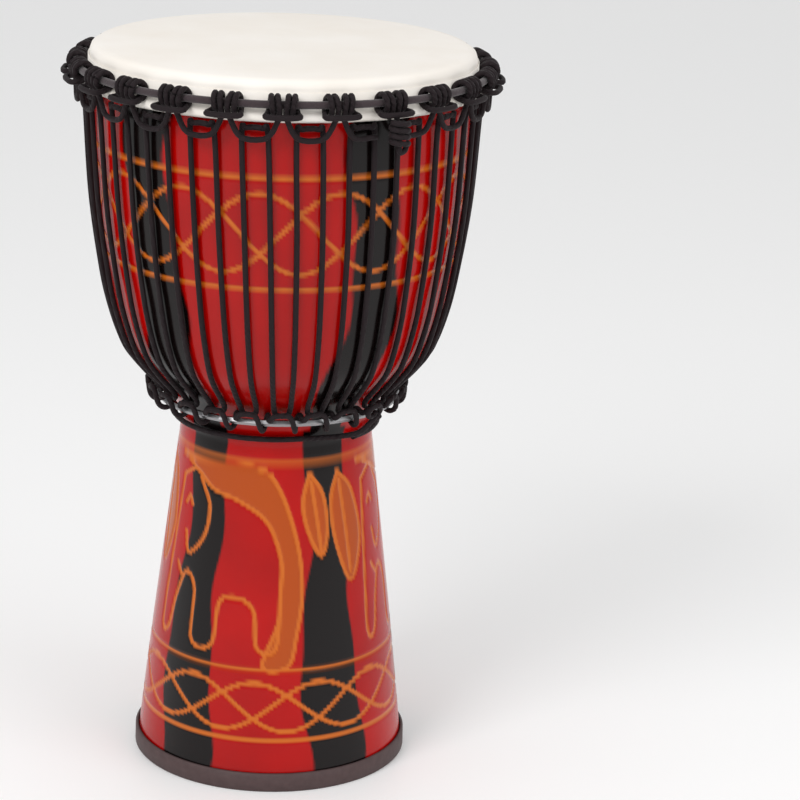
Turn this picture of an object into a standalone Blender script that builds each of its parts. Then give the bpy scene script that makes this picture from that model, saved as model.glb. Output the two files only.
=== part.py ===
"""Rope-tuned goblet hand drum, 0.60 m tall.

A carved wooden goblet stands on a rubber foot band. A skin covers the bowl and
curls round a steel flesh hoop. A cloth-bound crown ring pulls that hoop down.
One rope is hitched 24 times round the crown ring and hangs a cradle between
every two hitches, and a second rope does the same on a bottom ring at the
waist. A third rope laces the two sets of cradles together with 48 strands.
Its tail is coiled over the bottom ring and goes once round the waist.
"""

import math

import bpy
import numpy as np
from mathutils import Vector

# Driving dimensions, metres
HEIGHT = 0.600
TURN_STEPS = 40
GAP = 0.0003

# Shell stations, each height above the floor and outer radius, rim to foot
OUTER_STATIONS = (
    (0.5900, 0.1542),
    (0.5400, 0.1538),
    (0.4800, 0.1503),
    (0.4200, 0.1420),
    (0.3600, 0.1256),
    (0.3190, 0.0925),
    (0.2920, 0.0797),
    (0.2620, 0.0816),
    (0.1000, 0.1014),
    (0.0035, 0.1122),
)
OUTER_SPANS = (1, 1, 2, 2, 3, 2, 1, 1, 1)
FINE_SPANS = (1, 2, 2, 2, 3, 2, 1, 2, 1)
# Shell stations of the bore, foot to rim
INNER_STATIONS = (
    (0.0035, 0.0985),
    (0.1400, 0.0800),
    (0.2700, 0.0560),
    (0.3150, 0.0600),
    (0.3750, 0.1110),
    (0.4600, 0.1330),
    (0.5840, 0.1400),
)
INNER_SPANS = (1, 1, 1, 2, 1, 1)

# Skin
SKIN = 0.0008
SIDE_R = 0.1549
FLAP_R = 0.1560
FLAP_TOP = 0.5905

# Flesh hoop, a steel rod inside the curl of the skin
HOOP_ROD = 0.0025
HOOP_R = 0.1585
HOOP_Z = 0.5722
CURL = 0.0036

# Crown ring, a steel rod bound with cloth
CROWN_R = 0.1651
CROWN_Z = 0.5832
CROWN_ROD = 0.0021
CLOTH_IN = 0.0024
CLOTH_OUT = 0.0030

# Bottom ring, a bare steel rod
BOTTOM_R = 0.0985
BOTTOM_Z = 0.3125
BOTTOM_ROD = 0.0028

# Rows of the bowl that the lacing lies on, low to high
LACE_ROWS = (8, 7, 6, 5, 3)

# Rope and its pattern
ROPE = 0.00225
HITCHES = 24
PITCH = math.radians(360 / HITCHES)
LEAN = math.radians(2.5)
STRAND = math.radians(3.6)
WRAP = 0.0058
HEXAGON = math.cos(math.radians(30))

# Foot band
BAND_TOP = 0.0158
BAND_OUT = 0.1143
BAND_IN = 0.1000

# Knot and tail, angles counted from the front towards the right
KNOT_ANGLE = math.radians(30)
TAIL_ANGLE = math.radians(43)


def clear_scene():
    for item in list(bpy.data.objects):
        bpy.data.objects.remove(item, do_unlink=True)


def material(name, colour, roughness, metallic=0.0, coat=0.0):
    made = bpy.data.materials.new(name)
    made.use_nodes = True
    shader = made.node_tree.nodes["Principled BSDF"]
    shader.inputs["Base Color"].default_value = (*colour, 1.0)
    shader.inputs["Roughness"].default_value = roughness
    shader.inputs["Metallic"].default_value = metallic
    shader.inputs["Coat Weight"].default_value = coat
    made.diffuse_color = (*colour, 1.0)
    return made


def add_object(name, data, look, parts):
    made = bpy.data.objects.new(name, data)
    made.data.materials.append(look)
    parts.objects.link(made)
    return made


def smooth_stations(stations, spans):
    """Rows on a Catmull-Rom curve through the stations, as (radius, height)."""
    knots = [Vector((r, z)) for z, r in stations]
    before = knots[0] * 2 - knots[1]
    after = knots[-1] * 2 - knots[-2]
    knots = [before, *knots, after]
    rows = []
    for i, count in enumerate(spans):
        p0, p1, p2, p3 = knots[i:i + 4]
        for k in range(count):
            t = k / count
            even = p1 * 2 + (p0 * 2 - p1 * 5 + p2 * 4 - p3) * t * t
            odd = (p2 - p0) * t + (p1 * 3 - p0 - p2 * 3 + p3) * t * t * t
            rows.append((even + odd) / 2)
    rows.append(knots[-2])
    return rows


def turned(name, profile, look, parts, closed=True):
    """Turn a profile at +X, listed down its outer side, about the Z axis."""
    count = len(profile)
    edges = [(i, i + 1) for i in range(count - 1)]
    if closed:
        edges.append((count - 1, 0))
    data = bpy.data.meshes.new(name)
    data.from_pydata([(r, 0.0, z) for r, z in profile], edges, [])
    made = add_object(name, data, look, parts)
    turn = made.modifiers.new("Turn", "SCREW")
    turn.steps = TURN_STEPS
    turn.render_steps = TURN_STEPS
    turn.use_merge_vertices = True
    turn.merge_threshold = 0.00001
    turn.use_smooth_shade = True
    return made


def rod_ring(name, radius, rod, height, look, parts, sides=6):
    """A closed ring of round rod, lying level."""
    bpy.ops.mesh.primitive_torus_add(
        major_radius=radius,
        minor_radius=rod,
        major_segments=TURN_STEPS,
        minor_segments=sides,
    )
    made = bpy.context.object
    made.name = name
    made.data.name = name
    made.location.z = height
    for owner in list(made.users_collection):
        owner.objects.unlink(made)
    parts.objects.link(made)
    made.data.materials.append(look)
    made.data.shade_smooth()
    return made


def rope(name, points, look, parts, resolution=1):
    """One unbroken length of rope along the points."""
    data = bpy.data.curves.new(name, "CURVE")
    data.dimensions = "3D"
    data.bevel_depth = ROPE
    data.bevel_resolution = resolution
    data.resolution_u = 1
    data.render_resolution_u = 0
    data.use_fill_caps = True
    spline = data.splines.new("POLY")
    spline.points.add(len(points) - 1)
    for knot, place in zip(spline.points, points):
        knot.co = (*place, 1.0)
    made = add_object(name, data, look, parts)
    print(name, "length", round(path_length(points), 3), "m")
    print(name, "least gap to itself", round(least_gap(points) * 1000, 2), "mm")
    return made


def path_length(points):
    return sum((b - a).length for a, b in zip(points, points[1:]))


def least_gap(points):
    """Least clear distance between stretches of a rope that aren't neighbours."""
    path = np.array([tuple(p) for p in points])
    steps = np.linspace(0.0, 1.0, 7)[:-1]
    dense = []
    along = []
    run = 0.0
    for start, end in zip(path[:-1], path[1:]):
        length = np.linalg.norm(end - start)
        for step in steps:
            dense.append(start + (end - start) * step)
            along.append(run + length * step)
        run += length
    dense = np.array(dense)
    along = np.array(along)
    least = 1.0
    for place, distance in zip(dense, along):
        far = np.abs(along - distance) > 8 * ROPE
        if far.any():
            least = min(least, np.linalg.norm(dense[far] - place, axis=1).min())
    return least - 2 * ROPE


def on_ring(angle, radius, height):
    """A place at an angle counted from the front (-Y) towards +X."""
    return Vector((radius * math.sin(angle), -radius * math.cos(angle), height))


def shell(look, parts):
    outer = smooth_stations(OUTER_STATIONS, OUTER_SPANS)
    inner = smooth_stations(INNER_STATIONS, INNER_SPANS)
    top = HEIGHT - SKIN - GAP
    # The bearing edge is rounded outside and sloped inside
    edge = [(0.1436, top - 0.0040), (0.1462, top), (0.1518, top - 0.0018)]
    profile = [tuple(row) for row in outer] + [tuple(row) for row in inner] + edge
    return turned("shell", profile, look, parts)


def foot_band(look, parts):
    profile = [
        (0.1116, BAND_TOP),
        (BAND_OUT - 0.0012, BAND_TOP),
        (BAND_OUT, 0.0010),
        (BAND_OUT - 0.0010, 0.0),
        (BAND_IN, 0.0),
        (BAND_IN, 0.0032),
        (0.1126, 0.0032),
    ]
    return turned("foot_band", profile, look, parts)


def drum_head(look, parts):
    """The skin runs over the bearing edge, round the hoop and up to its trim."""
    level = HEIGHT - SKIN / 2
    profile = [(0.0, level), (0.1455, level), (0.1524, 0.5979), (SIDE_R, 0.5925)]
    for degrees in (180, 240, 300, 360, 420):
        turn = math.radians(degrees)
        profile.append((HOOP_R + CURL * math.cos(turn), HOOP_Z + CURL * math.sin(turn)))
    profile += [(FLAP_R, 0.5773), (FLAP_R, FLAP_TOP)]
    made = turned("drum_head", profile, look, parts, closed=False)
    sheet = made.modifiers.new("Thickness", "SOLIDIFY")
    sheet.thickness = SKIN
    sheet.offset = 0.0
    sheet.use_even_offset = True
    return made


def ring_cloth(name, radius, height, look, parts):
    """Cloth bound round a ring, its edges meeting on the side towards the shell."""
    profile = []
    seam = math.radians(8)
    corners = [math.radians(d) for d in (120, 60, 0, -60, -120)]
    outside = [math.pi - seam, *corners, -math.pi + seam]
    for turn in outside:
        profile.append((radius + CLOTH_OUT * math.cos(turn), height + CLOTH_OUT * math.sin(turn)))
    for turn in reversed(outside):
        profile.append((radius + CLOTH_IN * math.cos(turn), height + CLOTH_IN * math.sin(turn)))
    return turned(name, profile, look, parts)


def crown_place(angle, along, out, up):
    """A place beside the crown ring: along it, out from it and above it."""
    return on_ring(angle + along / CROWN_R, CROWN_R - 0.00025 + out, CROWN_Z + up)


def hitch_half(side):
    """Half of a cow hitch from its cradle to its bar, as (along, out, up)."""
    reach = WRAP / HEXAGON
    path = [(0.0122, 0.0004, -0.0259), (0.0036, 0.0014, -0.0122)]
    steps = ((-30, 0.0026), (30, 0.0028), (90, 0.0040), (150, 0.0058), (210, 0.0074), (270, 0.0088))
    for degrees, along in steps:
        turn = math.radians(degrees)
        path.append((along, reach * math.cos(turn), reach * math.sin(turn)))
    path.append((0.0092, 0.0102, -0.0072))
    return [(side * along, out, up) for along, out, up in path]


def crown_rope(look, parts):
    """24 cow hitches on the crown ring, with a cradle between every two."""
    first = round(KNOT_ANGLE / PITCH)
    left = hitch_half(-1)
    right = hitch_half(1)
    points = []
    for k in range(HITCHES):
        angle = (first + k) * PITCH
        stretch = left[1:] if k == 0 else left
        points += [crown_place(angle, *place) for place in stretch]
        points += [crown_place(angle, *place) for place in reversed(right)]
    last = (first + HITCHES) * PITCH
    points.append(crown_place(last, *left[0]))
    return rope("crown_hitch_rope", points, look, parts)


def bottom_place(angle, along, out, up):
    """A place beside the bottom ring: out from the shell's cone, and up along it."""
    slope = math.sqrt(0.5)
    radius = BOTTOM_R + (out + up) * slope
    height = BOTTOM_Z + (up - out) * slope
    return on_ring(angle + along / BOTTOM_R, radius, height)


def bottom_rope(look, parts):
    """24 round turns on the bottom ring, with a cradle between every two."""
    reach = (BOTTOM_ROD + GAP + ROPE + 0.0003) / HEXAGON
    points = []
    first = round(TAIL_ANGLE / PITCH)
    for k in range(HITCHES):
        angle = (first + 0.5 + k) * PITCH + LEAN
        points.append(bottom_place(angle, -0.0075, 0.0000, 0.0112))
        for step in range(6):
            turn = math.radians(20 - 60 * step)
            along = -0.0034 + 0.0068 * step / 5
            points.append(bottom_place(angle, along, reach * math.cos(turn), reach * math.sin(turn)))
        points.append(bottom_place(angle, 0.0075, 0.0000, 0.0112))
    return rope("bottom_hitch_rope", points[1:], look, parts)


def strand_up(low_angle, high_angle):
    """One strand from a bottom cradle up to a crown cradle, over the bowl."""
    outer = smooth_stations(OUTER_STATIONS, FINE_SPANS)
    lift = ROPE + GAP + 0.0010
    path = [bottom_place(low_angle, 0.0, -0.0062, 0.0130)]
    for i in LACE_ROWS:
        along = (outer[i + 1] - outer[i - 1]).normalized()
        normal = Vector((-along.y, along.x))
        radius, height = outer[i] + normal * lift
        share = (height - BOTTOM_Z) / (CROWN_Z - BOTTOM_Z)
        path.append(on_ring(low_angle + (high_angle - low_angle) * share, radius, height))
    path.append(on_ring(high_angle, 0.1590, 0.5580))
    return path


def lacing_rope(look, parts):
    """48 strands zigzag between the crown cradles and the bottom cradles."""
    first = round(TAIL_ANGLE / PITCH)
    points = []
    for k in range(HITCHES):
        low = (first + k) * PITCH + LEAN
        high = (first + k + 0.5) * PITCH
        points.append(bottom_place(low, 0.0040, -0.0042, 0.0058))
        points += strand_up(low + STRAND, high - STRAND)
        points.append(on_ring(high - STRAND * 0.6, 0.1616, 0.5640))
        points.append(on_ring(high + STRAND * 0.6, 0.1616, 0.5640))
        points += reversed(strand_up(low + PITCH - STRAND, high + STRAND))
        points.append(bottom_place(low + PITCH, -0.0040, -0.0042, 0.0058))
    return rope("lacing_rope", points, look, parts)


def crown_knot(look, parts):
    """The spare end wound 3.5 times round itself, below one hitch."""
    radius = 0.1772
    half_width = 0.0070
    half_depth = 0.0056
    low = 0.5530
    climb = 0.0050
    points = []
    for along, height in ((0.0, 0.5700), (0.0, 0.5482), (0.0046, 0.5476)):
        points.append(on_ring(KNOT_ANGLE + along / radius, radius, height))
    for step in range(36):
        turn = math.radians(36 * step)
        along = half_width * math.cos(turn)
        out = half_depth * math.sin(turn)
        height = low + climb * turn / math.tau
        points.append(on_ring(KNOT_ANGLE + along / radius, radius + out, height))
    return rope("crown_knot", points, look, parts)


def tail_rope(look, parts):
    """The lacing's tail: a flat coil over the bottom ring, then once round the waist."""
    lean = math.radians(25)
    points = []
    for step in range(14):
        turn = math.radians(33 * step - 9)
        radius = 0.0026 + 0.0054 * turn / math.tau
        along = radius * math.cos(turn)
        rise = -radius * math.sin(turn)
        out = 0.1134 + rise * math.sin(lean)
        height = 0.3185 + rise * math.cos(lean)
        points.append(on_ring(TAIL_ANGLE + along / 0.1134, out, height))
    for degrees, radius, height in ((40, 0.1045, 0.3010), (33, 0.0945, 0.2968), (26, 0.0868, 0.2950)):
        points.append(on_ring(math.radians(degrees), radius, height))
    for step in range(23):
        share = step / 23
        points.append(on_ring(math.radians(18 - 15 * step), 0.0838, 0.2945 - 0.0056 * share))
    return rope("tail_rope", points, look, parts)


def build():
    clear_scene()
    parts = bpy.data.collections.new("Goblet drum")
    bpy.context.scene.collection.children.link(parts)
    wood = material("Lacquered wood", (0.42, 0.006, 0.004), 0.22, coat=0.6)
    rubber = material("Foot rubber", (0.045, 0.022, 0.022), 0.6)
    skin = material("Drum skin", (0.87, 0.84, 0.79), 0.55)
    steel = material("Ring steel", (0.30, 0.30, 0.31), 0.4, metallic=1.0)
    cloth = material("Ring cloth", (0.022, 0.014, 0.017), 0.85)
    cord = material("Black rope", (0.020, 0.013, 0.015), 0.75)
    shell(wood, parts)
    foot_band(rubber, parts)
    drum_head(skin, parts)
    rod_ring("flesh_hoop", HOOP_R, HOOP_ROD, HOOP_Z, steel, parts)
    rod_ring("crown_ring", CROWN_R, CROWN_ROD, CROWN_Z, steel, parts)
    ring_cloth("crown_ring_cloth", CROWN_R, CROWN_Z, cloth, parts)
    rod_ring("bottom_ring", BOTTOM_R, BOTTOM_ROD, BOTTOM_Z, steel, parts)
    crown_rope(cord, parts)
    bottom_rope(cord, parts)
    lacing_rope(cord, parts)
    crown_knot(cord, parts)
    tail_rope(cord, parts)


build()
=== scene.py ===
"""Looks of the rope-tuned goblet hand drum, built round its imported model.

Finer surfaces stand for the shell, skin, cloth binding, foot band and ropes. The
steel rings keep their solids and get a finish.
"""

import math

import bpy
import numpy as np
from mathutils import Matrix, Vector


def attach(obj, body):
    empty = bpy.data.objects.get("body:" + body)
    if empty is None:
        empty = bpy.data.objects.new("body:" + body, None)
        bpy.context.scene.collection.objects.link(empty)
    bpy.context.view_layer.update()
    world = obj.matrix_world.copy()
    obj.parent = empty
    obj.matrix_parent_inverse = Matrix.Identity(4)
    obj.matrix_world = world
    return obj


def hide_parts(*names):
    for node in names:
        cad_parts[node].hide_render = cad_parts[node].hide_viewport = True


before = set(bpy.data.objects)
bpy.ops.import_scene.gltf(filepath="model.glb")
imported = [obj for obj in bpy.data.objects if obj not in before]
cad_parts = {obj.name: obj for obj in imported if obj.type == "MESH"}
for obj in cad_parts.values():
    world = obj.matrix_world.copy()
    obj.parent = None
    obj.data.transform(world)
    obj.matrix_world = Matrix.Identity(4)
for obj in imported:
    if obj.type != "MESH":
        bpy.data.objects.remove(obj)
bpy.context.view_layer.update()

# Shell, skin and rings, metres; stations are (height, radius), the bearing edge (radius, depth below the top)
HEIGHT = 0.600
SKIN = 0.0008
GAP = 0.0003
OUTER_STATIONS = (
    (0.5900, 0.1542), (0.5400, 0.1538), (0.4800, 0.1503), (0.4200, 0.1420), (0.3600, 0.1256),
    (0.3190, 0.0925), (0.2920, 0.0797), (0.2620, 0.0816), (0.1000, 0.1014), (0.0035, 0.1122),
)
INNER_STATIONS = (
    (0.0035, 0.0985), (0.1400, 0.0800), (0.2700, 0.0560), (0.3150, 0.0600),
    (0.3750, 0.1110), (0.4600, 0.1330), (0.5840, 0.1400),
)
BEARING_EDGE = ((0.1436, 0.0040), (0.1462, 0.0), (0.1518, 0.0018))
HOOP_R, HOOP_Z, CURL = 0.1585, 0.5722, 0.0036
SIDE_R, FLAP_R, FLAP_LOW, FLAP_TOP = 0.1549, 0.1560, 0.5773, 0.5905
SKIN_RADII = (0.0004, 0.0012, 0.004, 0.02, 0.08, 0.1455)
SKIN_SHOULDER = ((0.1500, 0.5990), (0.1535, 0.5968), (SIDE_R, 0.5925))
CURL_DEGREES = range(180, 421, 20)
CROWN_R, CROWN_Z, CLOTH_IN, CLOTH_OUT = 0.1651, 0.5832, 0.0024, 0.0030
CLOTH_SEAM = math.radians(4)
BOTTOM_R, BOTTOM_Z, BOTTOM_ROD = 0.0985, 0.3125, 0.0028
BAND_TOP, BAND_OUT, BAND_IN, BAND_LEDGE = 0.0158, 0.1143, 0.1000, 0.0032

# Rows of the fine surfaces between two stations, and columns round them
SHELL_ROWS = (10, 24, 28, 16, 12, 8, 18, 66, 46)
BORE_ROWS = (2, 2, 2, 3, 2, 2)
SHELL_AROUND = 400
RING_AROUND = 240
CLOTH_SIDES = 16

# Ropes, metres. CRADLE, BAR, TURN_END, LACE_START and LOW_BIGHT are (along the ring, out, up), KNOT_LEAD is
# (along, height), TAIL_LEAD is (degrees, radius, height), and each STEP and START is in degrees.
ROPE = 0.00225
ROPE_SIDES = 8
LAY_RATE, LAY_STRANDS = 1100, 2
CROSS_GUIDE = (0.31, 0.17, 0.93)
HITCHES = 24
PITCH = 2 * math.pi / HITCHES
LEAN, STRAND = math.radians(2.5), math.radians(3.6)
WRAP, WRAP_PITCH, FIRST_WRAP = 0.0058, 0.0048, 0.0025
WRAP_DEGREES = range(-30, 631, 60)
HEXAGON = math.cos(math.radians(30))
CROWN_INSET = 0.00025
BOTTOM_REACH = (BOTTOM_ROD + GAP + ROPE + GAP) / HEXAGON
CRADLE = ((0.0122, 0.0004, -0.0259), (0.0036, 0.0014, -0.0122))
BAR = (0.0110, 0.0104, -0.0078)
TURN_END, TURN_HALF, TURN_STEPS, TURN_STEP, TURN_START = (0.0075, 0.0, 0.0112), 0.0034, 5, 60, 20
LACE_SPANS = (1, 2, 2, 2, 3, 2, 1, 2, 1)
LACE_ROWS = (8, 7, 6, 5, 3)
LACE_LIFT = ROPE + GAP + 0.0010
LACE_START = (0.0, -0.0062, 0.0130)
LACE_END_R, LACE_END_Z = 0.1590, 0.5580
BIGHT_R, BIGHT_Z, BIGHT_SHARE = 0.1616, 0.5640, 0.6
LOW_BIGHT = (0.0040, -0.0042, 0.0058)
KNOT_ANGLE, KNOT_R, KNOT_WIDTH, KNOT_DEPTH = math.radians(30), 0.1772, 0.0070, 0.0056
KNOT_LOW, KNOT_CLIMB, KNOT_STEPS, KNOT_STEP = 0.5530, 0.0050, 36, 36
KNOT_LEAD = ((0.0, 0.5700), (0.0, 0.5482), (0.0046, 0.5476))
TAIL_ANGLE, TAIL_R, TAIL_Z, TAIL_LEAN = math.radians(43), 0.1134, 0.3185, math.radians(25)
TAIL_CORE, TAIL_SPREAD = 0.0026, 0.0054
COIL_STEPS, COIL_STEP, COIL_START = 14, 33, -9
TAIL_LEAD = ((40, 0.1045, 0.3010), (33, 0.0945, 0.2968), (26, 0.0868, 0.2950))
WAIST_R, WAIST_Z, WAIST_FALL = 0.0838, 0.2945, 0.0056
WAIST_STEPS, WAIST_STEP, WAIST_START = 23, 15, 18

# Black stripes, in degrees round the drum; each wave of their middle is (reach, rate up the height, start)
STRIPE_PITCH, STRIPE_AT, STRIPE_HALF = 72.0, -42.0, 9.0
MIDDLE_WAVES = ((2.2, 31, 1.0), (1.2, 67, 0.0))
STRIPE_SWELL, SWELL_RATE = 1.6, 23
STEM_TOP, STEM_WIDER = 0.3, 4
EDGE_SHARPNESS = 1.2

# Carved lines as (degrees from the front towards the right, height), repeated round the drum
BOWL_BAND, BOWL_WAVES = (0.4345, 0.5240), 5
LOW_BAND, LOW_WAVES = (0.0425, 0.0985), 4
BRAID_STRANDS, BRAID_REACH = 3, 0.36
STEM_BORDER, SCENE_LOW = 0.273, 0.102
SCENES = 3
GROOVE_HALF, GROOVE_DEPTH, GROOVE_SHARPNESS = 0.0021, 0.0012, 2.5
LEAF_OUTLINES = (
    ((20, 0.264), (16, 0.240), (19, 0.215), (26, 0.195), (30, 0.215), (28, 0.245), (20, 0.264)),
    ((38, 0.262), (33, 0.240), (35, 0.205), (44, 0.170), (53, 0.205), (48, 0.245), (38, 0.262)),
)
LEAF_VEINS = (
    ((21, 0.256), (24, 0.225), (26, 0.200)),
    ((39, 0.255), (42, 0.215), (44, 0.178)),
)
CRESCENT = (
    (-66, 0.268), (-30, 0.269), (-8, 0.268), (4, 0.248), (13, 0.205), (15, 0.165), (12, 0.130),
    (8, 0.105), (-4, 0.105), (3, 0.140), (4, 0.165), (4, 0.195), (-4, 0.225), (-20, 0.240),
    (-36, 0.246), (-50, 0.258), (-66, 0.268),
)
ELEPHANT_BODY = (
    (-62, 0.250), (-50, 0.258), (-36, 0.246), (-20, 0.240), (-4, 0.225), (4, 0.195), (4, 0.165),
    (2, 0.120), (-7, 0.120), (-9, 0.150), (-17, 0.160), (-27, 0.155), (-30, 0.118), (-42, 0.118),
    (-43, 0.160), (-50, 0.172), (-56, 0.150), (-60, 0.120), (-66, 0.122), (-65, 0.175), (-62, 0.250),
)
ELEPHANT_EAR = ((-46, 0.252), (-38, 0.232), (-40, 0.205), (-50, 0.188), (-54, 0.205))
ELEPHANT_EYE = ((-57, 0.228), (-54, 0.234), (-51, 0.228))
ELEPHANT_MOUTH = ((-58, 0.176), (-53, 0.166))
SCENE_LINES = (
    *LEAF_OUTLINES, *LEAF_VEINS, CRESCENT, ELEPHANT_BODY, ELEPHANT_EAR, ELEPHANT_EYE, ELEPHANT_MOUTH,
)
LINE_STEPS = 6

# Paint and bare wood, linear colours
RED_DARK, RED_LIGHT = (0.26, 0.0, 0.0), (0.50, 0.001, 0.0)
BLACK_PAINT = (0.004, 0.002, 0.002)
BARE_WOOD = (0.40, 0.062, 0.004)
CUT_WOOD = (0.56, 0.13, 0.012)

# Viewpoint and what the lamps face: metres and radians, with the lens and its sensor in millimetres
CAMERA_PLACE = (0.0, -2.37927, 1.02662)
CAMERA_YAW, CAMERA_PITCH, CAMERA_ROLL = 0.04293594, 0.2944741, 0.03442611
LENS, SENSOR = 135.0, 36.0
LIGHT_TARGET = (0, 0, 0.3)


def catmull(knots, spans):
    """Points on a Catmull-Rom curve through the knots, with a number of steps for each span."""
    knots = np.asarray(knots, float)
    path = np.vstack([2 * knots[0] - knots[1], knots, 2 * knots[-1] - knots[-2]])
    rows = []
    for i, count in enumerate(spans):
        p0, p1, p2, p3 = path[i:i + 4]
        t = (np.arange(count) / count)[:, None]
        even = 2 * p1 + (2 * p0 - 5 * p1 + 4 * p2 - p3) * t * t
        rows.append((even + (p2 - p0) * t + (3 * p1 - p0 - 3 * p2 + p3) * t ** 3) / 2)
    rows.append(knots[-1:])
    return np.vstack(rows)


def grid_mesh(name, places, look, close_rows=False, masks=None):
    """Quads over a rows by columns grid of places; columns join round, and rows too where asked."""
    rows, columns = places.shape[:2]
    index = np.arange(rows * columns).reshape(rows, columns)
    down = np.roll(index, -1, 0) if close_rows else index[1:]
    up = index if close_rows else index[:-1]
    quads = np.stack([up, down, np.roll(down, -1, 1), np.roll(up, -1, 1)], -1).reshape(-1, 4)
    data = bpy.data.meshes.new(name)
    data.from_pydata(places.reshape(-1, 3).tolist(), [], quads.tolist())
    data.shade_smooth()
    for label, values in (masks or {}).items():
        layer = data.attributes.new(label, "FLOAT", "POINT")
        layer.data.foreach_set("value", values.reshape(-1).astype(np.float32))
    made = bpy.data.objects.new(name, data)
    made.data.materials.append(look)
    bpy.context.scene.collection.objects.link(made)
    return made


def stand_for(made, node):
    """Let a finished piece replace its solid, which is hidden, and ride on the drum."""
    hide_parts(node)
    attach(made, "root")


def swept_round(profile, columns):
    """Places of a profile of (radius, height) turned about Z, angle counted from the front to the right."""
    angle = np.linspace(0, 2 * np.pi, columns, endpoint=False)
    radius, height = np.asarray(profile).T
    return np.stack([np.outer(radius, np.sin(angle)), -np.outer(radius, np.cos(angle)),
                     np.repeat(height[:, None], columns, 1)], -1)


def stripe_mask(angle, height):
    """1 inside the black stripes, whose middle and width follow sine waves up the height."""
    wander = sum(reach * np.sin(height * rate + start) for reach, rate, start in MIDDLE_WAVES)
    off = (angle - STRIPE_AT - wander + STRIPE_PITCH / 2) % STRIPE_PITCH - STRIPE_PITCH / 2
    half = STRIPE_HALF + STRIPE_SWELL * np.sin(height * SWELL_RATE) + STEM_WIDER * (height < STEM_TOP)
    return np.clip((half - np.abs(off)) * EDGE_SHARPNESS + 0.5, 0, 1)


def line_distance(angle, height, radius, line):
    """Distance to a smooth line, by arc and height: the least over the line's short straight steps."""
    smooth = catmull(line, [LINE_STEPS] * (len(line) - 1))
    best = np.full(angle.shape, 1.0)
    for (a0, z0), (a1, z1) in zip(smooth[:-1], smooth[1:]):
        x, y = np.radians((angle - a0 + 180) % 360 - 180) * radius, height - z0
        dx, dy = np.radians(a1 - a0) * radius, z1 - z0
        t = np.clip((x * dx + y * dy) / (dx * dx + dy * dy + 1e-12), 0, 1)
        best = np.minimum(best, np.hypot(x - t * dx, y - t * dy))
    return best


def carved_distance(angle, height, radius):
    """Distance to the nearest carved line: level borders, braids of sine waves, leaves and elephants."""
    best = np.full(angle.shape, 1.0)
    for level in (*BOWL_BAND, STEM_BORDER, SCENE_LOW, LOW_BAND[0]):
        best = np.minimum(best, np.abs(height - level))
    for (low, high), waves in ((BOWL_BAND, BOWL_WAVES), (LOW_BAND, LOW_WAVES)):
        middle, reach = (low + high) / 2, (high - low) * BRAID_REACH
        in_band = (height > low) & (height < high)
        for strand in range(BRAID_STRANDS):
            turn = np.radians(angle * waves + 360 // BRAID_STRANDS * strand)
            slope = reach * waves / radius * np.cos(turn)
            gap = np.abs(height - middle - reach * np.sin(turn)) / np.sqrt(1 + slope ** 2)
            best = np.minimum(best, np.where(in_band, gap, 1.0))
    for copy in range(SCENES):
        for line in SCENE_LINES:
            best = np.minimum(best, line_distance(angle - 360 // SCENES * copy, height, radius, line))
    return best


def inside(angle, height, line):
    """1 inside a closed line of (angle, height) points, by counting the edges to one side."""
    smooth = catmull(line, [LINE_STEPS] * (len(line) - 1))
    odd = np.zeros(angle.shape, bool)
    x = (angle + 180) % 360 - 180
    for (a0, z0), (a1, z1) in zip(smooth[:-1], smooth[1:]):
        crosses = (z0 > height) != (z1 > height)
        odd ^= crosses & (x < (a1 - a0) * (height - z0) / (z1 - z0 + 1e-12) + a0)
    return odd.astype(float)


def bare_mask(angle, height):
    """1 inside the crescent and the leaves, where the wood is left unpainted."""
    bare = np.zeros(angle.shape)
    for copy in range(SCENES):
        for line in (CRESCENT, *LEAF_OUTLINES):
            bare = np.maximum(bare, inside(angle - 360 // SCENES * copy, height, line))
    return bare


def mix(nodes, links, factor, first, second):
    """A colour mix; first and second are colours or sockets."""
    node = nodes.new("ShaderNodeMix")
    node.data_type = "RGBA"
    links.new(factor, node.inputs["Factor"])
    for socket, value in ((node.inputs["A"], first), (node.inputs["B"], second)):
        if isinstance(value, tuple):
            socket.default_value = (*value, 1.0)
        else:
            links.new(value, socket)
    return node.outputs["Result"]


def grain_group():
    """Noise at a given scale, put out as a mask and as the normal of a bump."""
    group = bpy.data.node_groups.new("Surface grain", "ShaderNodeTree")
    for label, value in (("Scale", 200.0), ("Strength", 0.2)):
        socket = group.interface.new_socket(label, in_out="INPUT", socket_type="NodeSocketFloat")
        socket.default_value = value
    group.interface.new_socket("Mask", in_out="OUTPUT", socket_type="NodeSocketFloat")
    group.interface.new_socket("Normal", in_out="OUTPUT", socket_type="NodeSocketVector")
    nodes, links = group.nodes, group.links
    given = nodes.new("NodeGroupInput")
    put = nodes.new("NodeGroupOutput")
    place = nodes.new("ShaderNodeTexCoord")
    noise = nodes.new("ShaderNodeTexNoise")
    bump = nodes.new("ShaderNodeBump")
    noise.inputs["Detail"].default_value = 6
    bump.inputs["Distance"].default_value = 0.0006
    links.new(place.outputs["Object"], noise.inputs["Vector"])
    links.new(given.outputs["Scale"], noise.inputs["Scale"])
    links.new(given.outputs["Strength"], bump.inputs["Strength"])
    links.new(noise.outputs["Fac"], bump.inputs["Height"])
    links.new(noise.outputs["Fac"], put.inputs["Mask"])
    links.new(bump.outputs["Normal"], put.inputs["Normal"])
    return group


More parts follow.
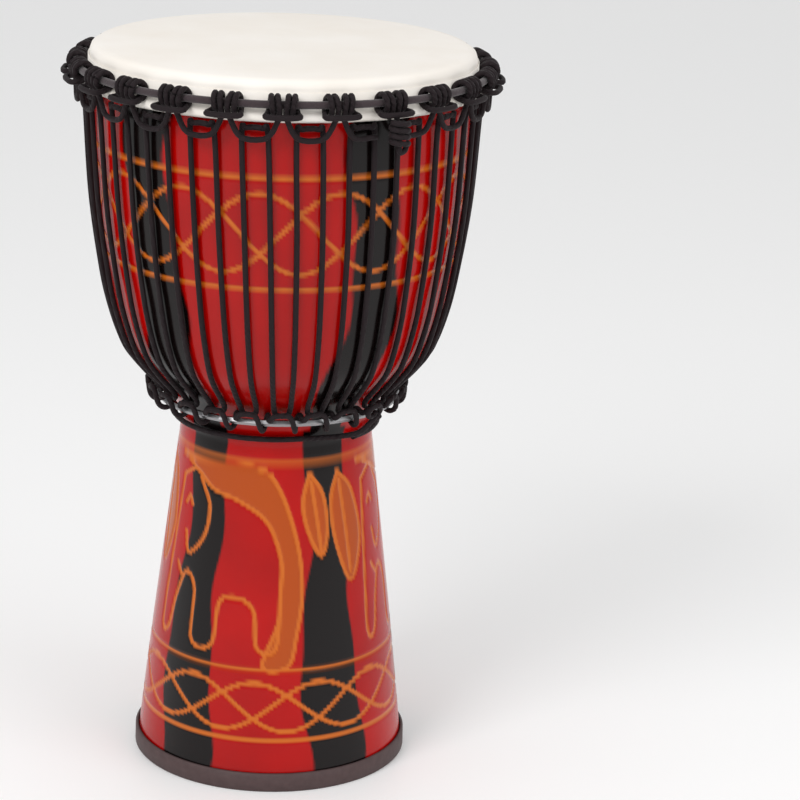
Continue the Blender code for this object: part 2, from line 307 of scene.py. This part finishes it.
def material(name, dark, light, roughness, scale, strength, metallic=0.0, sheen=0.0):
    """A finish that varies between two colours with the shared grain."""
    made = bpy.data.materials.new(name)
    made.use_nodes = True
    nodes, links = made.node_tree.nodes, made.node_tree.links
    shader = nodes["Principled BSDF"]
    grain = nodes.new("ShaderNodeGroup")
    grain.node_tree = GRAIN
    grain.inputs["Scale"].default_value = scale
    grain.inputs["Strength"].default_value = strength
    links.new(mix(nodes, links, grain.outputs["Mask"], dark, light), shader.inputs["Base Color"])
    links.new(grain.outputs["Normal"], shader.inputs["Normal"])
    shader.inputs["Roughness"].default_value = roughness
    shader.inputs["Metallic"].default_value = metallic
    shader.inputs["Sheen Weight"].default_value = sheen
    return made


def lacquer():
    """Red and black gloss paint over bare wood and carved lines, from the shell's own masks."""
    made = material("Painted wood", RED_DARK, RED_LIGHT, roughness=0.2, scale=14.0, strength=0.05)
    nodes, links = made.node_tree.nodes, made.node_tree.links
    shader = nodes["Principled BSDF"]
    shader.inputs["Specular IOR Level"].default_value = 0.25
    colour = shader.inputs["Base Color"].links[0].from_socket
    for label, tint in (("black", BLACK_PAINT), ("bare", BARE_WOOD), ("carved", CUT_WOOD)):
        mask = nodes.new("ShaderNodeAttribute")
        mask.attribute_name = label
        colour = mix(nodes, links, mask.outputs["Fac"], colour, tint)
    links.new(colour, shader.inputs["Base Color"])
    return made


def rope_look():
    """Dark cord whose strands run slantwise, as bump from the tube's own height map."""
    made = material("Braided cord", (0.004, 0.002, 0.003), (0.018, 0.010, 0.012),
                    roughness=0.7, scale=900.0, strength=0.3, sheen=0.03)
    nodes, links = made.node_tree.nodes, made.node_tree.links
    shader = nodes["Principled BSDF"]
    shader.inputs["Specular IOR Level"].default_value = 0.2
    layer = nodes.new("ShaderNodeAttribute")
    layer.attribute_name = "lay"
    bump = nodes.new("ShaderNodeBump")
    bump.inputs["Distance"].default_value = 0.0008
    bump.inputs["Strength"].default_value = 0.8
    links.new(layer.outputs["Fac"], bump.inputs["Height"])
    links.new(bump.outputs["Normal"], shader.inputs["Normal"])
    return made


def add_shell(look):
    """The shell's profile turned about Z, pressed in by the groove depth along each carved line."""
    outer = catmull([(r, z) for z, r in OUTER_STATIONS], SHELL_ROWS)
    inner = catmull([(r, z) for z, r in INNER_STATIONS], BORE_ROWS)
    top = HEIGHT - SKIN - GAP
    edge = [(reach, top - below) for reach, below in BEARING_EDGE]
    profile = np.vstack([outer, inner, edge])
    places = swept_round(profile, SHELL_AROUND)
    angle = np.broadcast_to(np.linspace(0, 360, SHELL_AROUND, endpoint=False), places.shape[:2])
    radius = np.repeat(profile[:, :1], SHELL_AROUND, 1)
    height = places[..., 2]
    outside = (np.arange(len(profile)) < len(outer))[:, None]
    distance = np.where(outside, carved_distance(angle, height, radius), 1.0)
    groove = np.clip(1 - distance / GROOVE_HALF, 0, 1)
    places[..., :2] *= (1 - GROOVE_DEPTH * groove / radius)[..., None]
    masks = {
        "bare": bare_mask(angle, height) * outside,
        "black": stripe_mask(angle, height) * outside,
        "carved": np.clip(groove * GROOVE_SHARPNESS, 0, 1),
    }
    made = grid_mesh("painted_shell", places, look, close_rows=True, masks=masks)
    stand_for(made, "shell")


def add_turned(name, node, profile, look):
    """A closed profile of (radius, height) turned about Z."""
    made = grid_mesh(name, swept_round(profile, RING_AROUND), look, close_rows=True)
    stand_for(made, node)


def add_head(look):
    """A line over the edge, round the hoop and up the flap, thickened by half the skin to each side."""
    level = HEIGHT - SKIN / 2
    top = [(radius, level) for radius in SKIN_RADII]
    curl = [(HOOP_R + CURL * math.cos(math.radians(d)), HOOP_Z + CURL * math.sin(math.radians(d)))
            for d in CURL_DEGREES]
    line = np.array([*top, *SKIN_SHOULDER, *curl, (FLAP_R, FLAP_LOW), (FLAP_R, FLAP_TOP)])
    along = np.gradient(line, axis=0)
    along /= np.linalg.norm(along, axis=1)[:, None]
    normal = np.stack([-along[:, 1], along[:, 0]], 1) * SKIN / 2
    normal[0] = (0, SKIN / 2)
    profile = np.vstack([line + normal, (line - normal)[::-1]])
    add_turned("stretched_skin", "drum_head", profile, look)


def add_cloth(look):
    """Cloth round the crown ring: an outer and an inner circle, joined at both edges of the seam."""
    ends = math.pi - CLOTH_SEAM
    around = [(turn, CLOTH_OUT) for turn in np.linspace(ends, -ends, CLOTH_SIDES)]
    around += [(turn, CLOTH_IN) for turn in np.linspace(-ends, ends, CLOTH_SIDES)]
    profile = [(CROWN_R + reach * math.cos(turn), CROWN_Z + reach * math.sin(turn)) for turn, reach in around]
    add_turned("bound_cloth", "crown_ring_cloth", profile, look)


def add_foot_band(look):
    """The rubber band's section, with its upper and lower outer edges bevelled."""
    profile = [
        (0.1116, BAND_TOP),
        (BAND_OUT - 0.0012, BAND_TOP),
        (BAND_OUT - 0.0002, BAND_TOP - 0.001),
        (BAND_OUT, 0.0010),
        (BAND_OUT - 0.0010, 0.0),
        (BAND_IN, 0.0),
        (BAND_IN, BAND_LEDGE),
        (0.1126, BAND_LEDGE),
    ]
    add_turned("rubber_band", "foot_band", profile, look)


def add_rope(name, points, node, look, steps=5):
    """A round tube along a smooth path, with a height map of two strands slanting round it."""
    path = catmull(points, [steps] * (len(points) - 1))
    along = np.gradient(path, axis=0)
    along /= np.linalg.norm(along, axis=1)[:, None]
    # The cross axes come from one fixed direction, so where the rope runs close to it they turn fast
    side = np.cross(along, CROSS_GUIDE)
    side /= np.linalg.norm(side, axis=1)[:, None]
    rise = np.cross(along, side)
    turn = np.linspace(0, 2 * np.pi, ROPE_SIDES, endpoint=False)
    ring = side[:, None] * np.cos(turn)[None, :, None] + rise[:, None] * np.sin(turn)[None, :, None]
    places = path[:, None] + ring * ROPE
    places = np.concatenate([np.repeat(path[:1, None], ROPE_SIDES, 1), places,
                             np.repeat(path[-1:, None], ROPE_SIDES, 1)])
    run = np.concatenate([[0], np.cumsum(np.linalg.norm(np.diff(path, axis=0), axis=1))])
    run = np.concatenate([run[:1], run, run[-1:]])
    lay = 0.5 + 0.5 * np.sin(run[:, None] * LAY_RATE + LAY_STRANDS * turn[None, :])
    made = grid_mesh(name, places[:, ::-1], look, masks={"lay": lay[:, ::-1]})
    stand_for(made, node)


def on_ring(angle, radius, height):
    """A place at an angle counted from the front towards the right."""
    return (radius * math.sin(angle), -radius * math.cos(angle), height)


def crown_place(angle, along, out, up):
    """A place beside the crown ring: along it, out from it and above it."""
    return on_ring(angle + along / CROWN_R, CROWN_R - CROWN_INSET + out, CROWN_Z + up)


def bottom_place(angle, along, out, up):
    """A place beside the bottom ring: along it, and out and up in axes that lean 45 degrees outwards."""
    slope = math.sqrt(0.5)
    return on_ring(angle + along / BOTTOM_R, BOTTOM_R + (out + up) * slope, BOTTOM_Z + (up - out) * slope)


def hitch_half(side):
    """Half of a cow hitch: from its cradle, just under two helix turns round the ring, to its bar."""
    reach = WRAP / HEXAGON
    path = [*CRADLE]
    for degrees in WRAP_DEGREES:
        turn = math.radians(degrees)
        along = FIRST_WRAP + WRAP_PITCH * (degrees - WRAP_DEGREES[0]) / 360
        path.append((along, reach * math.cos(turn), reach * math.sin(turn)))
    path.append(BAR)
    return [(side * along, out, up) for along, out, up in path]


def crown_points():
    """Cow hitches on the crown ring, with a cradle between every two."""
    first = round(KNOT_ANGLE / PITCH)
    left, right = hitch_half(-1), hitch_half(1)
    points = []
    for k in range(HITCHES):
        angle = (first + k) * PITCH
        points += [crown_place(angle, *place) for place in (left[1:] if k == 0 else left)]
        points += [crown_place(angle, *place) for place in reversed(right)]
    return points + [crown_place((first + HITCHES) * PITCH, *left[0])]


def bottom_points():
    """Round turns on the bottom ring, with a cradle between every two."""
    first = round(TAIL_ANGLE / PITCH)
    points = []
    for k in range(HITCHES):
        angle = (first + 0.5 + k) * PITCH + LEAN
        points.append(bottom_place(angle, -TURN_END[0], *TURN_END[1:]))
        for step in range(TURN_STEPS + 1):
            turn = math.radians(TURN_START - TURN_STEP * step)
            along = -TURN_HALF + 2 * TURN_HALF * step / TURN_STEPS
            out, up = BOTTOM_REACH * math.cos(turn), BOTTOM_REACH * math.sin(turn)
            points.append(bottom_place(angle, along, out, up))
        points.append(bottom_place(angle, *TURN_END))
    return points[1:]


def strand_up(low_angle, high_angle, outer):
    """One strand from a bottom cradle up to a crown cradle, lifted off the rows that it lies on."""
    path = [bottom_place(low_angle, *LACE_START)]
    for i in LACE_ROWS:
        along = outer[i + 1] - outer[i - 1]
        along = along / np.linalg.norm(along)
        radius, height = outer[i] + np.array((-along[1], along[0])) * LACE_LIFT
        share = (height - BOTTOM_Z) / (CROWN_Z - BOTTOM_Z)
        path.append(on_ring(low_angle + (high_angle - low_angle) * share, radius, height))
    return path + [on_ring(high_angle, LACE_END_R, LACE_END_Z)]


def lacing_points():
    """Strands that zigzag between the crown cradles and the bottom cradles."""
    outer = catmull([(r, z) for z, r in OUTER_STATIONS], LACE_SPANS)
    first = round(TAIL_ANGLE / PITCH)
    points = []
    for k in range(HITCHES):
        low = (first + k) * PITCH + LEAN
        high = (first + k + 0.5) * PITCH
        points.append(bottom_place(low, *LOW_BIGHT))
        points += strand_up(low + STRAND, high - STRAND, outer)
        points.append(on_ring(high - STRAND * BIGHT_SHARE, BIGHT_R, BIGHT_Z))
        points.append(on_ring(high + STRAND * BIGHT_SHARE, BIGHT_R, BIGHT_Z))
        points += reversed(strand_up(low + PITCH - STRAND, high + STRAND, outer))
        points.append(bottom_place(low + PITCH, -LOW_BIGHT[0], *LOW_BIGHT[1:]))
    return points


def knot_points():
    """The spare end: down, across and then a flattened helix that climbs round it."""
    points = [on_ring(KNOT_ANGLE + along / KNOT_R, KNOT_R, height)
              for along, height in KNOT_LEAD]
    for step in range(KNOT_STEPS):
        turn = math.radians(KNOT_STEP * step)
        points.append(on_ring(KNOT_ANGLE + KNOT_WIDTH * math.cos(turn) / KNOT_R,
                              KNOT_R + KNOT_DEPTH * math.sin(turn),
                              KNOT_LOW + KNOT_CLIMB * turn / math.tau))
    return points


def tail_points():
    """A flat spiral over the bottom ring, a lead down to the waist and nearly once round it."""
    points = []
    for step in range(COIL_STEPS):
        turn = math.radians(COIL_STEP * step + COIL_START)
        radius = TAIL_CORE + TAIL_SPREAD * turn / math.tau
        rise = -radius * math.sin(turn)
        points.append(on_ring(TAIL_ANGLE + radius * math.cos(turn) / TAIL_R,
                              TAIL_R + rise * math.sin(TAIL_LEAN),
                              TAIL_Z + rise * math.cos(TAIL_LEAN)))
    for degrees, radius, height in TAIL_LEAD:
        points.append(on_ring(math.radians(degrees), radius, height))
    for step in range(WAIST_STEPS):
        height = WAIST_Z - WAIST_FALL * step / WAIST_STEPS
        points.append(on_ring(math.radians(WAIST_START - WAIST_STEP * step), WAIST_R, height))
    return points


def add_camera():
    """The photograph's viewpoint: 2.4 m in front and 17 degrees down."""
    yaw, pitch, roll = CAMERA_YAW, CAMERA_PITCH, CAMERA_ROLL
    forward = Vector((math.sin(yaw) * math.cos(pitch), math.cos(yaw) * math.cos(pitch), -math.sin(pitch)))
    level = Vector((math.cos(yaw), -math.sin(yaw), 0.0))
    upright = level.cross(forward)
    right = level * math.cos(roll) + upright * math.sin(roll)
    up = upright * math.cos(roll) - level * math.sin(roll)
    data = bpy.data.cameras.new("Camera")
    data.lens = LENS
    data.sensor_width = SENSOR
    made = bpy.data.objects.new("Camera", data)
    turn = Matrix((right, up, -forward)).transposed().to_4x4()
    made.matrix_world = Matrix.Translation(CAMERA_PLACE) @ turn
    bpy.context.scene.collection.objects.link(made)
    bpy.context.scene.camera = made


def add_light(name, place, size, power):
    """A square lamp that faces the middle of the drum."""
    data = bpy.data.lights.new(name, "AREA")
    data.size = size
    data.energy = power
    made = bpy.data.objects.new(name, data)
    made.location = place
    made.rotation_euler = (Vector(LIGHT_TARGET) - Vector(place)).to_track_quat("-Z", "Y").to_euler()
    bpy.context.scene.collection.objects.link(made)


def add_studio():
    """A plain pale floor, an even white surround and two soft lamps."""
    bpy.ops.mesh.primitive_plane_add(size=12)
    floor = bpy.context.object
    floor.name = "floor"
    look = bpy.data.materials.new("Pale floor")
    look.use_nodes = True
    look.node_tree.nodes["Principled BSDF"].inputs["Base Color"].default_value = (0.97, 0.97, 0.97, 1)
    floor.data.materials.append(look)
    world = bpy.data.worlds.new("Studio")
    world.use_nodes = True
    surround = world.node_tree.nodes["Background"]
    surround.inputs["Color"].default_value = (1, 1, 1, 1)
    surround.inputs["Strength"].default_value = 0.75
    bpy.context.scene.world = world
    add_light("Key", (-1.4, -1.8, 2.2), size=1.2, power=34)
    add_light("Fill", (1.8, -1.4, 1.5), size=1.6, power=14)
    bpy.context.scene.view_settings.view_transform = "Standard"


def dress_steel(look):
    """The steel rings' own solids show, with a better finish."""
    for name in ("flesh_hoop", "crown_ring", "bottom_ring"):
        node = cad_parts[name]
        node.data.materials.clear()
        node.data.materials.append(look)


GRAIN = grain_group()
add_camera()
add_studio()
cord = rope_look()
cloth = material("Bound cloth", (0.014, 0.008, 0.010), (0.05, 0.03, 0.035),
                 roughness=0.9, scale=700, strength=0.6, sheen=0.3)
rubber = material("Foot rubber", (0.040, 0.018, 0.018), (0.085, 0.050, 0.050),
                  roughness=0.6, scale=160, strength=0.4)
skin = material("Drum skin", (0.80, 0.74, 0.66), (0.90, 0.87, 0.83), roughness=0.55, scale=18, strength=0.15)
steel = material("Ring steel", (0.28, 0.28, 0.29), (0.40, 0.40, 0.41),
                 roughness=0.4, scale=300, strength=0.1, metallic=1.0)
dress_steel(steel)
add_shell(lacquer())
add_head(skin)
add_cloth(cloth)
add_foot_band(rubber)
add_rope("hitched_rope", crown_points(), "crown_hitch_rope", cord)
add_rope("waist_rope", bottom_points(), "bottom_hitch_rope", cord)
add_rope("lacing", lacing_points(), "lacing_rope", cord, steps=8)
add_rope("knotted_end", knot_points(), "crown_knot", cord)
add_rope("coiled_tail", tail_points(), "tail_rope", cord, steps=6)
